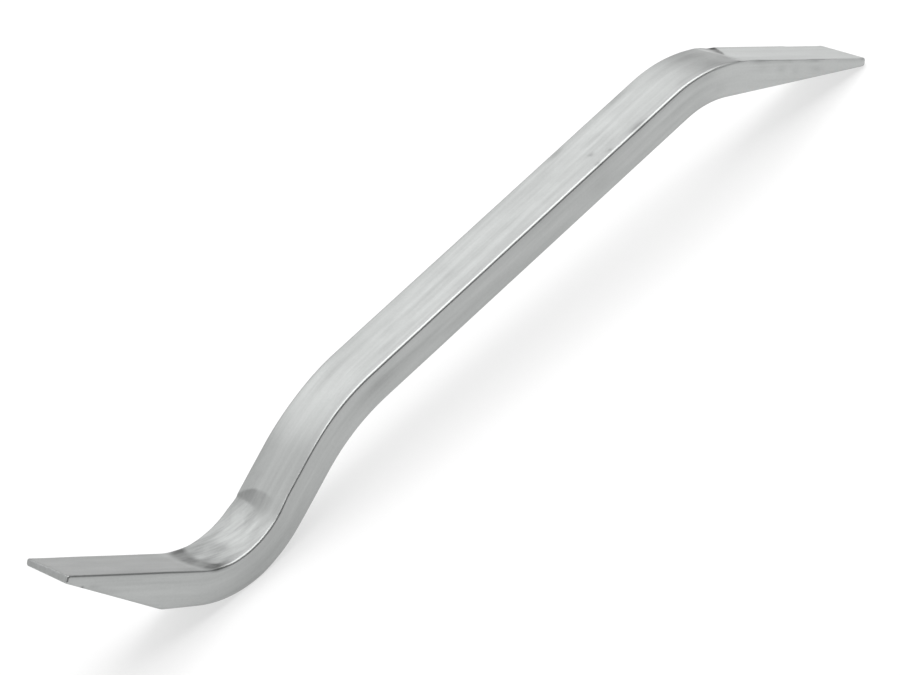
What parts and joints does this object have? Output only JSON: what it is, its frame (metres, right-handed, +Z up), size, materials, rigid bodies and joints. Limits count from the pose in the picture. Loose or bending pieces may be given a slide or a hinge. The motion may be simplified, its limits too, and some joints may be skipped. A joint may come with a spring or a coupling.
{
  "type": "pry bar",
  "caption": "Double-ended pry bar forged from flat steel: straight shaft, offset heeled chisel at one end and a plain chisel bent down at the other.",
  "frame": {"origin": "on the surface the bar stands on, below the centre of its bounding box; the bar stands on the underside of its heel bend and on the lower edge of its plain tip", "axes": "+X along the bar from the heeled chisel to the plain chisel, +Y across its width, +Z up"},
  "size_m": [0.4496, 0.0266, 0.0609],
  "materials": {
    "ground_steel": "forged bar with ground and lightly brushed faces, soft satin sheen, rounded long edges, fine lengthwise scratches"
  },
  "bodies": {
    "root": {"forged_bar": "ground_steel"}
  },
  "joints": []
}
